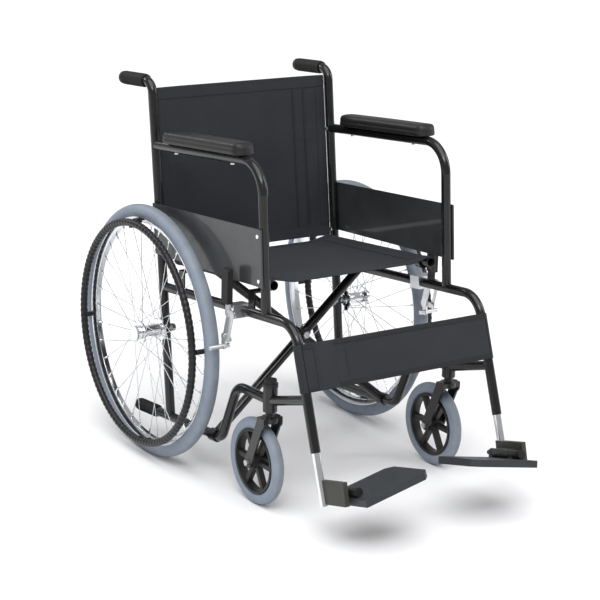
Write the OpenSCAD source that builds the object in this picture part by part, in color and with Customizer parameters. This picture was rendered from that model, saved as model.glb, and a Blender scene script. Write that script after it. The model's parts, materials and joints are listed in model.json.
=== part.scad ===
// Folding manual wheelchair: two tube side frames joined by a cross brace.
// Z is up, the chair faces -Y, and X runs from its right side (-X) to its left side (+X).
// Each side is drawn once, on the left, and mirrored for the right.

/* [Frame] */
// Distance between the centre lines of the two side frames
track_w = 498; // [480:1:520]
// Outer diameter of the frame tube
tube_d = 22; // [21:0.5:23]
// Wall of the frame tube
tube_wall = 1.5; // [1.2:0.1:1.8]
// Backward slope of the rails and the front arm post, in degrees
frame_tilt = 5; // [4:0.5:6]
// Height of the upper rail's centre line over the floor, level with the axle
rail_z = 403.5; // [400:0.5:407]
// Height of the lower rail's centre line over the floor, level with the axle
lower_z = 84; // [82:0.5:88]
// Height of the arm tube's centre line over the floor, level with the axle
arm_z = 742; // [730:1:760]

/* [Wheels] */
// Outer diameter of the rear tyre
wheel_d = 605; // [600:1:608]
// Width of the rear tyre
tyre_w = 33; // [30:1:34]
// Distance from the side frame's centre line to the wheel's middle
wheel_out = 46; // [45:0.5:48]
// Outer diameter of the hand rim
hand_rim_d = 545; // [535:1:550]
// Diameter of the hand rim's coated tube
hand_rim_tube = 18; // [16:1:19]
// Number of spokes in a wheel
spoke_count = 36; // [24:4:36]
// Outer diameter of the caster tyre
caster_d = 200; // [195:1:200]
// Distance from the caster's swivel axis back to its wheel axle
caster_trail = 49; // [45:1:52]

/* [Seat and back] */
// Distance between the seat rails' centre lines
seat_rail_w = 432; // [425:1:434]
// Height of the seat rails' centre line over the floor, level with the axle
seat_rail_z = 466.5; // [464:0.5:470]
// Thickness of the upholstery
cloth_t = 3; // [2:0.5:3]

/* [Footrests] */
// Diameter of the sliding footrest tube
foot_tube_d = 18.9; // [18.8:0.02:18.96]
// Depth of a footplate along its hinge pin
plate_depth = 146; // [130:1:148]
// Thickness of a footplate
plate_t = 16; // [12:1:16]

/* [Hidden] */
$fn = 28;

// The axle's distance behind the middle of the chair's length
axle_y = 250.4;
frame_x = track_w / 2;
tube_r = tube_d / 2;
slope = tan(frame_tilt);

// Side-frame points are [distance behind the axle, height above the floor]
wheel_r = wheel_d / 2;
axle = [0, wheel_r];
post_slope = 0.13;
function rail(u) = [u, rail_z - u * slope];
function lower(u) = [u, lower_z - u * slope];
function arm(u) = [u, arm_z - u * slope];
function seat_rail(u) = [u, seat_rail_z - u * slope];
function rear_post(z) = [(z - wheel_r) * post_slope, z];
function front_post(z) = [-416 - (650 - z) * slope, z];
function dir_angle(p, q) = atan2(q[1] - p[1], q[0] - p[0]);
function signed(a) = a > 180 ? a - 360 : (a < -180 ? a + 360 : a);

handle_bend = rear_post(883);
handle_end = [208, 874];
arm_bend = arm(-405);
rail_bend = rail(-548);
hanger_end = [-638, 193];
hanger_angle = dir_angle(hanger_end, rail_bend);
lower_bend = lower(-258);
rise_bend = [-322, 252];
tip_end = lower(128);
barrel_u = -457;
barrel_z0 = 232;
barrel_z1 = 288;
barrel_r = 16;
bearing_r = 13;
bearing_h = 11;
stem_r = 6;
run_gap = 0.05;
axle_r = 6;

// Wheel offsets from the side frame's centre line
hub_in = 15;
hub_out = 79;
hand_rim_off = 85;
hand_rim_r = hand_rim_d / 2 - hand_rim_tube / 2;
rim_r = 274;
rim_in_r = 260;

// Casters
caster_r = caster_d / 2;
caster_u = barrel_u + caster_trail;
caster_tyre_r = 14;
caster_rim_r = 75;
fork_gap = 20;
fork_leg_t = 5;
fork_axle_r = 4;

// Fold: the braces cross at the middle and hinge on the lower rails
brace_u = -215;
brace_r = 11;
brace_gap = 12.5;
brace_h = (seat_rail_z - lower_z) * cos(frame_tilt);
brace_run = frame_x + seat_rail_w / 2;
brace_angle = atan2(brace_h, brace_run);
brace_mid_h = brace_h * frame_x / brace_run;
brace_low_len = frame_x / cos(brace_angle);
brace_top_len = seat_rail_w / 2 / cos(brace_angle);

// Footrests
pin_x = frame_x - 27;
pin_tilt = 15;
pin_at = [-698, 123.5];
pin_r = 5;
plate_roll = 11;
plate_drop = 18.5;
plate_in = 162;
plate_rear = -42;
knuckle = 13;

// Brake
lever_at = [-330, 430];
shoe_at = [-314, 370];
crank = 24;
shoe_drop = 22;
brake_plate_x = 280;

// ---------- placing ----------

module left() { children(); }
module right() { mirror([1, 0, 0]) children(); }

// Draws in the side frame's plane: local x runs backward, y up and z outward
module side_plane(x = frame_x) {
    translate([x, axle_y, 0]) rotate([90, 0, 90]) children();
}

// Draws along X at a point of the side plane
module at(p, x = frame_x) {
    side_plane(x) translate([p[0], p[1], 0]) children();
}

// Draws in the braces' plane: local x is X, y up along the plane and z forward
module brace_plane() {
    translate([0, axle_y + brace_u, lower(brace_u)[1]])
        rotate([90 - frame_tilt, 0, 0]) children();
}

// Draws at the footplate's hinge pin: local x is X, y up from the plate and z forward
module pin_frame() {
    translate([pin_x, axle_y + pin_at[0], pin_at[1]])
        rotate([90 - pin_tilt, 0, 0]) children();
}

// ---------- tubes ----------

module ring_2d(r, wall) {
    difference() {
        circle(r);
        circle(r - wall);
    }
}

// Straight tube between two points of the side plane
module straight(p, q, r = tube_r, wall = tube_wall) {
    translate([p[0], p[1], 0]) rotate([0, 0, dir_angle(p, q)]) rotate([0, 90, 0])
        linear_extrude(norm(q - p)) ring_2d(r, wall);
}

// Ring inside the tube that joins an elbow to the straight beside it; local z runs along the tube
module liner(r) {
    half = 3;
    translate([0, 0, -half]) linear_extrude(2 * half) ring_2d(r - 1, 1.5);
}

// Elbow that rounds the corner c between points p and q
module elbow(p, c, q, bend, r = tube_r, wall = tube_wall) {
    joint = 0.02;
    a = dir_angle(p, c);
    turn = signed(dir_angle(c, q) - a);
    side = turn > 0 ? 1 : -1;
    start = bend * tan(abs(turn) / 2);
    touch = c - start * [cos(a), sin(a)];
    centre = touch + side * bend * [-sin(a), cos(a)];
    first = turn > 0 ? a - 90 : a + turn + 90;
    gap_a = joint / bend * 180 / PI;
    translate([centre[0], centre[1], 0]) {
        rotate([0, 0, first + gap_a])
            rotate_extrude(angle = abs(turn) - 2 * gap_a) translate([bend, 0]) ring_2d(r, wall);
        for (end = [first, first + abs(turn)])
            rotate([0, 0, end]) translate([bend, 0, 0]) rotate([90, 0, 0]) liner(r);
    }
}

// Length that an elbow takes from each straight beside it
function take(p, c, q, bend) = bend * tan(abs(signed(dir_angle(c, q) - dir_angle(p, c))) / 2);
function toward(p, q, d) = p + d * (q - p) / norm(q - p);

// Tube with one bend
module bent(p, c, q, bend) {
    d = take(p, c, q, bend);
    straight(p, toward(c, p, d));
    elbow(p, c, q, bend);
    straight(toward(c, q, d), q);
}

// ---------- side frame ----------

module frame_tubes() {
    handle_r = 30;
    arm_r = 70;
    hanger_r = 60;
    lower_r = 30;
    rise_r = 45;
    cross = [barrel_u, 256];
    cross_end = toward(hanger_end, rail_bend, 113);
    bent(toward(lower(-22), handle_bend, 2), handle_bend, handle_end, handle_r);
    bent(rear_post(arm_z - 5) - [6, 0], arm_bend, front_post(rail_z + 43), arm_r);
    bent(rail(6), rail_bend, hanger_end, hanger_r);
    d1 = take(tip_end, lower_bend, rise_bend, lower_r);
    d2 = take(lower_bend, rise_bend, cross, rise_r);
    straight(tip_end, toward(lower_bend, tip_end, d1));
    elbow(tip_end, lower_bend, rise_bend, lower_r);
    straight(toward(lower_bend, rise_bend, d1), toward(rise_bend, lower_bend, d2));
    elbow(lower_bend, rise_bend, cross, rise_r);
    straight(toward(rise_bend, cross, d2), cross);
    in_barrel = 11.3;   // start of the cross tube, ahead of the barrel's middle
    difference() {
        straight(toward(cross, cross_end, in_barrel), cross_end);
        translate([hanger_end[0], hanger_end[1], 0]) rotate([0, 0, hanger_angle])
            rotate([0, 90, 0]) cylinder(r = tube_r - tube_wall / 2, h = 200);
    }
}

// Cup on a bent plate that carries the seat rail when the chair is open
module saddle(u) {
    long = 24;
    plate = 4;
    cup = tube_r + 1.5;
    rail_at = rail(u);
    seat_at = seat_rail(u);
    shift = seat_rail_w / 2 - frame_x;
    rise = seat_at[1] - rail_at[1];
    translate([0, axle_y + u + long / 2, rail_at[1]]) rotate([90, 0, 0]) linear_extrude(long) {
        translate([frame_x - plate / 2, tube_r - 1])
            square([plate, rise - cup - tube_r + 1]);
        translate([frame_x + shift - cup / 2, rise - cup - plate])
            square([plate / 2 - shift + cup / 2, plate]);
        translate([frame_x + shift, rise]) difference() {
            circle(cup + plate - 1);
            circle(cup);
            translate([-2 * cup, 0]) square(4 * cup);
        }
    }
}

module side_frame() {
    color("black") difference() {
        union() {
            side_plane() frame_tubes();
            translate([frame_x, axle_y + barrel_u, barrel_z0])
                cylinder(r = barrel_r, h = barrel_z1 - barrel_z0);
            saddle(-70);
            saddle(-375);
        }
        translate([frame_x, axle_y + barrel_u, barrel_z0 - 1])
            cylinder(r = bearing_r - 2, h = barrel_z1 - barrel_z0 + 2);
        for (z = [barrel_z0, barrel_z1 - bearing_h])
            translate([frame_x, axle_y + barrel_u, z]) cylinder(r = bearing_r, h = bearing_h);
        at(axle, frame_x - tube_r - 2) cylinder(r = axle_r, h = tube_d + 4);
    }
}

module grips() {
    grip_r = 15;
    grip_len = 104;
    cap = 4;
    tip_len = 88;
    handle_a = dir_angle(handle_bend, handle_end);
    color("dimgray") {
        side_plane() translate([handle_end[0], handle_end[1], 0]) rotate([0, 0, handle_a])
            rotate([0, -90, 0]) difference() {
                translate([0, 0, -cap]) cylinder(r = grip_r, h = grip_len + cap);
                cylinder(r = tube_r, h = grip_len + 1);
            }
        side_plane() translate([tip_end[0], tip_end[1], 0]) rotate([0, 0, -frame_tilt])
            rotate([0, -90, 0]) difference() {
                translate([0, 0, -cap]) cylinder(r = grip_r - 1, h = tip_len + cap);
                cylinder(r = tube_r, h = tip_len + 1);
            }
    }
}

module arm_pad() {
    pad_w = 54;
    pad_h = 28;
    corner = 8;
    front = -345;
    rear = -8;
    long = (rear - front) / cos(frame_tilt);
    color("dimgray") at(arm(front) + [0, tube_r + 0.2]) rotate([0, 0, -frame_tilt])
        translate([0, 0, -pad_w / 2]) linear_extrude(pad_w) {
            translate([corner, 0]) square([long - 2 * corner, pad_h]);
            translate([0, 0]) square([long, pad_h - corner]);
            for (x = [corner, long - corner])
                translate([x, pad_h - corner]) circle(corner);
        }
}

module side_panel() {
    panel_t = 2;
    strip_t = 2;
    strip_w = 14;
    gap = 0.3;
    high = [rear_post(600), front_post(636)];
    low = [rear_post(480), front_post(508)];
    edge = [10, 0];
    color("dimgray") {
        side_plane(frame_x + tube_r + gap) linear_extrude(panel_t)
            polygon([low[0] + edge, high[0] + edge, high[1] - edge, low[1] - edge]);
        side_plane(frame_x + tube_r + gap + panel_t - 0.5) linear_extrude(strip_t + 0.5)
            polygon([
                low[1] - edge, low[1] - edge + [strip_w, 0],
                high[1] - edge + [strip_w, 0], high[1] - edge
            ]);
    }
}

// Screw with a round head; local z points out of the head
module screw(head_r, head_h, shank_r, shank) {
    cylinder(r = head_r, h = head_h);
    translate([0, 0, -shank]) cylinder(r = shank_r, h = shank + 0.5);
}

module frame_screws() {
    panel_top = tube_r + 0.3 + 4;
    color("silver") {
        for (z = [522, 620])
            at(front_post(z), frame_x + panel_top + 0.1) screw(4.5, 3, 2, 12);
        for (u = [-40, -285])
            at(arm(u) - [0, tube_r + 0.1]) rotate([0, 0, -frame_tilt]) rotate([90, 0, 0])
                screw(4.5, 3, 2, 2);
        for (z = [485, 735])
            at(rear_post(z), frame_x - tube_r - 0.1) rotate([0, 180, 0]) screw(4, 2.5, 2, 4);
    }
}

// ---------- rear wheel ----------

module wheel_place() { at(axle) children(); }

module tyre() {
    r = tyre_w / 2;
    color("slategray") wheel_place() translate([0, 0, wheel_out])
        rotate_extrude($fn = 96) difference() {
            translate([wheel_r - r, 0]) circle(r);
            translate([0, -2 * r]) square([rim_r, 4 * r]);
        }
}

module rim() {
    half = 13;
    lip = 2;
    color("silver") wheel_place() translate([0, 0, wheel_out]) rotate_extrude($fn = 96)
        polygon([
            [rim_r, -half], [rim_r, half], [rim_r - lip, half],
            [rim_in_r, half / 2], [rim_in_r, -half / 2], [rim_r - lip, -half]
        ]);
}

// Round rod between two points
module rod(p, q, r) {
    d = q - p;
    translate(p) rotate([0, acos(d[2] / norm(d)), atan2(d[1], d[0])])
        cylinder(r = r, h = norm(d), $fn = 16);
}

module spokes() {
    spoke_r = 0.9;
    hub_hole_r = 24;
    lace = 60;
    flange = 27;
    face = 2.6;
    color("silver") wheel_place() translate([0, 0, wheel_out])
        for (i = [0 : spoke_count - 1]) {
            a = i * 360 / spoke_count;
            lean = i % 4 < 2 ? 1 : -1;
            side = i % 2 == 0 ? 1 : -1;
            hub_a = a + lean * lace;
            inner = [hub_hole_r * cos(hub_a), hub_hole_r * sin(hub_a), side * flange + lean * face];
            outer = [(rim_in_r + 1) * cos(a), (rim_in_r + 1) * sin(a), 0];
            rod(inner, outer, spoke_r);
        }
}

module hub() {
    flange_r = 28;
    flange_t = 4;
    body_r = 14;
    cap_r = 17;
    cap_h = 10;
    color("silver") wheel_place() difference() {
        union() {
            translate([0, 0, hub_in]) cylinder(r = body_r, h = hub_out - hub_in);
            for (z = [wheel_out - 27, wheel_out + 27])
                translate([0, 0, z - flange_t / 2]) cylinder(r = flange_r, h = flange_t);
            translate([0, 0, hub_out - 0.5]) cylinder(r = cap_r, h = cap_h);
        }
        translate([0, 0, hub_in - 1]) cylinder(r = axle_r + run_gap, h = hub_out - hub_in + 1);
    }
}

module axle_bolt() {
    nut_r = 10;
    nut_h = 8;
    spacer_r = 9;
    inner = -tube_r;
    color("silver") wheel_place() {
        translate([0, 0, inner - nut_h - 3]) cylinder(r = axle_r, h = hub_out - inner + nut_h);
        translate([0, 0, inner - nut_h - 0.1]) cylinder(r = nut_r, h = nut_h, $fn = 6);
        translate([0, 0, tube_r + 0.1]) cylinder(r = spacer_r, h = hub_in - tube_r - 0.4);
    }
}

module hand_rim() {
    color("dimgray") wheel_place() translate([0, 0, hand_rim_off])
        rotate_extrude($fn = 96) translate([hand_rim_r, 0]) circle(hand_rim_tube / 2);
}

module hand_rim_brackets() {
    count = 4;
    arm_r = 6;
    start = wheel_out + 11;
    head_r = 5;
    color("dimgray") wheel_place() for (i = [0 : count - 1]) rotate([0, 0, i * 360 / count - 5]) {
        translate([rim_r - 7, 0, start])
            cylinder(r = arm_r, h = hand_rim_off - start - hand_rim_tube / 2 + 1);
        translate([rim_r - 13, 0, hand_rim_off]) rotate([0, -90, 0])
            cylinder(r = head_r, h = 9);
    }
}

// ---------- casters ----------

module swivel_place() { translate([frame_x, axle_y + barrel_u, 0]) children(); }
module caster_place() { at([caster_u, caster_r]) children(); }

module caster_fork() {
    crown_z = 207;
    crown_t = 12;
    crown_r = 19;
    leg_r = 14;
    eye_r = 13;
    reach = [caster_trail, caster_r];
    top = [0, crown_z + 4];
    color("black") difference() {
        union() {
            swivel_place() {
                translate([0, 0, crown_z]) cylinder(r = crown_r, h = crown_t);
                translate([0, 0, crown_z + crown_t - 1])
                    cylinder(r = 10, h = barrel_z0 - crown_z - crown_t + 0.7);
                translate([0, 0, crown_z]) cylinder(r = stem_r, h = barrel_z1 - crown_z + 8);
                translate([-fork_gap - fork_leg_t, -leg_r, crown_z])
                    cube([2 * (fork_gap + fork_leg_t), 2 * leg_r, crown_t]);
            }
            for (x = [-fork_gap - fork_leg_t, fork_gap])
                at([barrel_u, 0], frame_x + x) linear_extrude(fork_leg_t) {
                    translate(reach) circle(eye_r);
                    translate([0, crown_z - 1]) circle(leg_r);
                    translate([-leg_r, crown_z - 1]) square([2 * leg_r, crown_t + 1]);
                    translate(reach) rotate([0, 0, dir_angle(reach, top)])
                        translate([0, -eye_r]) square([norm(top - reach), 2 * eye_r]);
                }
        }
        caster_place() translate([0, 0, -60]) cylinder(r = fork_axle_r, h = 120);
    }
}

module caster_bearings() {
    color("silver") swivel_place() for (z = [barrel_z0, barrel_z1 - bearing_h])
        translate([0, 0, z]) difference() {
            cylinder(r = bearing_r, h = bearing_h);
            translate([0, 0, -1]) cylinder(r = stem_r + run_gap, h = bearing_h + 2);
        }
}

module stem_cap() {
    cap_r = 17;
    cap_h = 18;
    skin = 2;
    color("black") swivel_place() translate([0, 0, barrel_z1]) difference() {
        union() {
            cylinder(r = cap_r, h = cap_h / 2);
            cylinder(r = cap_r - 3, h = cap_h);
        }
        translate([0, 0, -1]) cylinder(r = cap_r - 3 - skin, h = cap_h - skin + 1);
    }
}

module caster_tyre() {
    color("slategray") caster_place() rotate_extrude($fn = 96) difference() {
        translate([caster_r - caster_tyre_r, 0]) circle(caster_tyre_r);
        translate([0, -30]) square([caster_rim_r, 60]);
    }
}

module caster_wheel() {
    band = 7;
    half = 12;
    hub_r = 17;
    hub_half = 19;
    spoke_w = 11;
    spoke_half = 7;
    arms = 6;
    color("black") caster_place() difference() {
        union() {
            rotate_extrude($fn = 96) translate([caster_rim_r - band, -half]) square([band, 2 * half]);
            translate([0, 0, -hub_half]) cylinder(r = hub_r, h = 2 * hub_half);
            for (i = [0 : arms - 1]) rotate([0, 0, 60 * i])
                translate([hub_r - 3, -spoke_w / 2, -spoke_half])
                    cube([caster_rim_r - band - hub_r + 4, spoke_w, 2 * spoke_half]);
        }
        translate([0, 0, -hub_half - 1]) cylinder(r = fork_axle_r + run_gap, h = 2 * hub_half + 2);
    }
}

module caster_axle() {
    head_r = 7.5;
    head_h = 6;
    outer = fork_gap + fork_leg_t + 0.1;
    color("silver") caster_place() {
        translate([0, 0, -outer - head_h]) cylinder(r = fork_axle_r, h = 2 * (outer + head_h));
        for (s = [-1, 1]) translate([0, 0, s * (outer + head_h / 2) - head_h / 2])
            cylinder(r = head_r, h = head_h, $fn = 6);
    }
}

// ---------- footrests ----------

module footrest_tube() {
    low = toward(hanger_end, hanger_end - [cos(hanger_angle), sin(hanger_angle)], 115);
    high = toward(hanger_end, rail_bend, 150);
    color("silver") side_plane() straight(low, high, foot_tube_d / 2, 1.5);
}

module footplate_clamp() {
    tube_at = frame_x - pin_x;
    side_x = 16;
    side_s = [-43, 50];
    barrel_s = [plate_rear + knuckle + 1, 26];
    barrel_r = 10;
    web = 9;
    top = 24;
    low = -28;
    color("dimgray") difference() {
        pin_frame() {
            translate([side_x, low, side_s[0]])
                cube([tube_at - side_x, top - low, side_s[1] - side_s[0]]);
            translate([0, 0, barrel_s[0]]) cylinder(r = barrel_r, h = barrel_s[1] - barrel_s[0]);
            translate([0, -web, barrel_s[0]])
                cube([side_x + 1, 2 * web, barrel_s[1] - barrel_s[0]]);
        }
        pin_frame() translate([0, 0, -70]) cylinder(r = pin_r, h = 140);
        side_plane() translate([hanger_end[0], hanger_end[1], 0]) rotate([0, 0, hanger_angle])
            rotate([0, -90, 0]) cylinder(r = foot_tube_d / 2, h = 200);
    }
}

module footplate() {
    knuckle_r = 10;
    web = 8;
    outer = 14;
    chamfer = 16;
    front = plate_rear + plate_depth;
    color("dimgray") pin_frame() rotate([0, 0, -plate_roll]) difference() {
        union() {
            translate([0, -plate_drop, 0]) rotate([90, 0, 0])
                translate([0, 0, -plate_t / 2]) linear_extrude(plate_t) polygon([
                    [outer, plate_rear], [outer, front],
                    [-plate_in + chamfer, front], [-plate_in, front - chamfer],
                    [-plate_in, plate_rear + chamfer], [-plate_in + chamfer, plate_rear]
                ]);
            for (s = [plate_rear, 27]) translate([0, 0, s]) {
                cylinder(r = knuckle_r, h = knuckle);
                translate([-web, -plate_drop, 0]) cube([2 * web, plate_drop, knuckle]);
            }
        }
        translate([0, 0, -70]) cylinder(r = pin_r + run_gap, h = 140);
    }
}

module footplate_pin() {
    knob_r = 10;
    knob = [41, 66];
    color("dimgray") pin_frame() {
        translate([0, 0, -52]) cylinder(r = pin_r, h = 52 + knob[0] + 1);
        translate([0, 0, knob[0]]) cylinder(r = knob_r, h = knob[1] - knob[0]);
    }
}

// ---------- brakes ----------

module brake_bracket() {
    plate_t = 3;
    block_long = 34;
    block_half = 15;
    wide = 15;
    web = 18;
    inner = -tube_r - 3;
    outer = brake_plate_x - plate_t - frame_x + 1;
    color("silver") {
        side_plane() translate([lever_at[0], rail(lever_at[0])[1], 0]) rotate([0, 0, -frame_tilt])
            difference() {
                translate([-block_long / 2, -block_half, inner])
                    cube([block_long, 2 * block_half, outer - inner]);
                rotate([0, 90, 0]) translate([0, 0, -block_long])
                    cylinder(r = tube_r, h = 2 * block_long);
            }
        side_plane(brake_plate_x - plate_t) linear_extrude(plate_t) {
            translate(lever_at) circle(wide);
            translate(shoe_at) circle(wide - 5);
            translate(shoe_at) rotate([0, 0, dir_angle(shoe_at, lever_at)])
                translate([0, -web / 2]) square([norm(lever_at - shoe_at), web]);
        }
        for (p = [lever_at, shoe_at]) at(p, brake_plate_x - 1) cylinder(r = 4, h = 6.5);
    }
}

module brake_lever() {
    plate_t = 4;
    bar = 8;
    long = 98;
    color("silver") at(lever_at, brake_plate_x + 0.5) difference() {
        union() {
            linear_extrude(plate_t) {
                circle(11);
                translate([-bar, 0]) square([2 * bar, long]);
                translate([-crank, -bar]) square([crank, 2 * bar]);
                translate([-crank, 0]) circle(bar);
            }
            translate([-crank, 0, 0]) cylinder(r = 3, h = plate_t + 4);
        }
        translate([0, 0, -1]) cylinder(r = 4 + run_gap, h = plate_t + 2);
    }
}

module brake_grip() {
    half_w = 13;
    thick = 14;
    from = 22;
    to = 102;
    color("black") at(lever_at, brake_plate_x + 0.5) difference() {
        translate([0, 0, -1.5]) linear_extrude(thick) {
            translate([-half_w, from]) square([2 * half_w, to - from - 6]);
            translate([-half_w + 6, from]) square([2 * half_w - 12, to - from]);
            for (s = [-1, 1]) translate([s * (half_w - 6), to - 6]) circle(6);
        }
        linear_extrude(4) translate([-8, 0]) square([16, 98]);
    }
}

module brake_link() {
    plate_t = 3;
    eye = 7;
    span = shoe_at - lever_at;
    color("silver") at(lever_at - [crank, 0], brake_plate_x + 5) difference() {
        linear_extrude(plate_t) {
            circle(eye);
            translate(span) circle(eye);
            rotate([0, 0, atan2(span[1], span[0])]) translate([0, -5]) square([norm(span), 10]);
        }
        for (p = [[0, 0], span]) translate([p[0], p[1], -1])
            cylinder(r = 3 + run_gap, h = plate_t + 2);
    }
}

module brake_shoe() {
    plate_t = 4;
    bar_r = 5;
    color("silver") at(shoe_at, brake_plate_x + 0.5) difference() {
        union() {
            linear_extrude(plate_t) {
                circle(9);
                translate([-crank, -6]) square([crank, 12]);
                translate([-crank, 0]) circle(6);
                translate([-7, -shoe_drop]) square([14, shoe_drop]);
                translate([0, -shoe_drop]) circle(7);
            }
            translate([-crank, 0, 0]) cylinder(r = 3, h = plate_t + 4);
            translate([0, -shoe_drop, -12]) cylinder(r = bar_r, h = 50);
        }
        translate([0, 0, -1]) cylinder(r = 4 + run_gap, h = plate_t + 2);
    }
}

// ---------- folding brace ----------

// Brace leg that starts on the lower rail at -X; local z is forward
module brace_leg(z) {
    collar_r = 15;
    collar_len = 24;
    color("black") brace_plane() translate([0, 0, z]) {
        difference() {
            union() {
                translate([-frame_x, 0, 0]) rotate([0, 0, brace_angle]) rotate([0, 90, 0])
                    translate([0, 0, 13]) linear_extrude(brace_low_len + brace_top_len - 20)
                        ring_2d(brace_r, tube_wall);
                translate([0, brace_mid_h, 0]) rotate([0, 0, brace_angle]) cube([30, 20, 20], center = true);
                translate([-frame_x, 0, -collar_len / 2]) cylinder(r = collar_r, h = collar_len);
                children();
            }
            translate([-frame_x, 0, -60]) cylinder(r = tube_r + run_gap, h = 120);
            translate([0, brace_mid_h, -60]) cylinder(r = 5 + run_gap, h = 120);
        }
    }
}

// Seat rail welded across the top of a leg
module seat_rail_tube(z) {
    front_u = -412;
    rear_u = 2;
    ahead = (brace_u - front_u) / cos(frame_tilt) + brace_h * tan(frame_tilt);
    behind = (rear_u - brace_u) / cos(frame_tilt) - brace_h * tan(frame_tilt);
    translate([seat_rail_w / 2, brace_h, -behind - z]) linear_extrude(ahead + behind)
        ring_2d(tube_r, tube_wall);
}

module brace_front() { brace_leg(brace_gap) seat_rail_tube(brace_gap); }
module brace_rear() { mirror([1, 0, 0]) brace_leg(-brace_gap) seat_rail_tube(-brace_gap); }

module brace_bolt() {
    head_r = 9;
    head_h = 7;
    reach = brace_gap + brace_r + 1;
    color("silver") brace_plane() translate([0, brace_mid_h, 0]) {
        translate([0, 0, -reach - head_h]) cylinder(r = 5, h = 2 * (reach + head_h));
        for (s = [-1, 1]) translate([0, 0, s * (reach + head_h / 2) - head_h / 2])
            cylinder(r = head_r, h = head_h, $fn = 6);
    }
}

// ---------- upholstery ----------

module seat_sling() {
    half = seat_rail_w / 2 + tube_r + 2;
    long = 416 / cos(frame_tilt);
    color("dimgray") translate([0, axle_y - 414, seat_rail(-414)[1]]) rotate([-frame_tilt, 0, 0])
        translate([-half, 0, tube_r + 0.4]) cube([2 * half, long, cloth_t]);
}

module back_sling() {
    half = frame_x - tube_r - 0.4;
    behind = 4.6;
    low = rear_post(470);
    high = rear_post(868);
    lean = atan(post_slope);
    color("dimgray") translate([0, axle_y + low[0], low[1]]) rotate([-lean, 0, 0])
        translate([-half, behind, 0]) cube([2 * half, cloth_t, norm(high - low)]);
}

module calf_strap() {
    strap_t = 2;
    strap_h = 104;
    r = tube_r + 0.4;
    low = hanger_end + 128 * [cos(hanger_angle), sin(hanger_angle)];
    module loop_2d(r) {
        for (x = [-frame_x, frame_x]) translate([x, 0]) circle(r);
        translate([-frame_x, -r]) square([track_w, 2 * r]);
    }
    color("dimgray") translate([0, axle_y + low[0], low[1]]) rotate([hanger_angle - 90, 0, 0])
        linear_extrude(strap_h) difference() {
            loop_2d(r + strap_t);
            loop_2d(r);
        }
}

right() side_frame();  // side_frame_right
left() side_frame();  // side_frame_left
right() grips();  // grips_right
left() grips();  // grips_left
right() arm_pad();  // arm_pad_right
left() arm_pad();  // arm_pad_left
right() side_panel();  // side_panel_right
left() side_panel();  // side_panel_left
right() frame_screws();  // frame_screws_right
left() frame_screws();  // frame_screws_left
right() tyre();  // tyre_right
left() tyre();  // tyre_left
right() rim();  // rim_right
left() rim();  // rim_left
right() spokes();  // spokes_right
left() spokes();  // spokes_left
right() hub();  // hub_right
left() hub();  // hub_left
right() axle_bolt();  // axle_right
left() axle_bolt();  // axle_left
right() hand_rim();  // hand_rim_right
left() hand_rim();  // hand_rim_left
right() hand_rim_brackets();  // hand_rim_brackets_right
left() hand_rim_brackets();  // hand_rim_brackets_left
right() caster_fork();  // caster_fork_right
left() caster_fork();  // caster_fork_left
right() caster_bearings();  // caster_bearings_right
left() caster_bearings();  // caster_bearings_left
right() stem_cap();  // stem_cap_right
left() stem_cap();  // stem_cap_left
right() caster_tyre();  // caster_tyre_right
left() caster_tyre();  // caster_tyre_left
right() caster_wheel();  // caster_wheel_right
left() caster_wheel();  // caster_wheel_left
right() caster_axle();  // caster_axle_right
left() caster_axle();  // caster_axle_left
right() footrest_tube();  // footrest_tube_right
left() footrest_tube();  // footrest_tube_left
right() footplate_clamp();  // footplate_clamp_right
left() footplate_clamp();  // footplate_clamp_left
right() footplate();  // footplate_right
left() footplate();  // footplate_left
right() footplate_pin();  // footplate_pin_right
left() footplate_pin();  // footplate_pin_left
right() brake_bracket();  // brake_bracket_right
left() brake_bracket();  // brake_bracket_left
right() brake_lever();  // brake_lever_right
left() brake_lever();  // brake_lever_left
right() brake_grip();  // brake_grip_right
left() brake_grip();  // brake_grip_left
right() brake_link();  // brake_link_right
left() brake_link();  // brake_link_left
right() brake_shoe();  // brake_shoe_right
left() brake_shoe();  // brake_shoe_left
brace_front();
brace_rear();
brace_bolt();
seat_sling();
back_sling();
calf_strap();
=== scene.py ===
import json
import math

import bmesh
import bpy
from mathutils import Matrix, Vector

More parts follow.
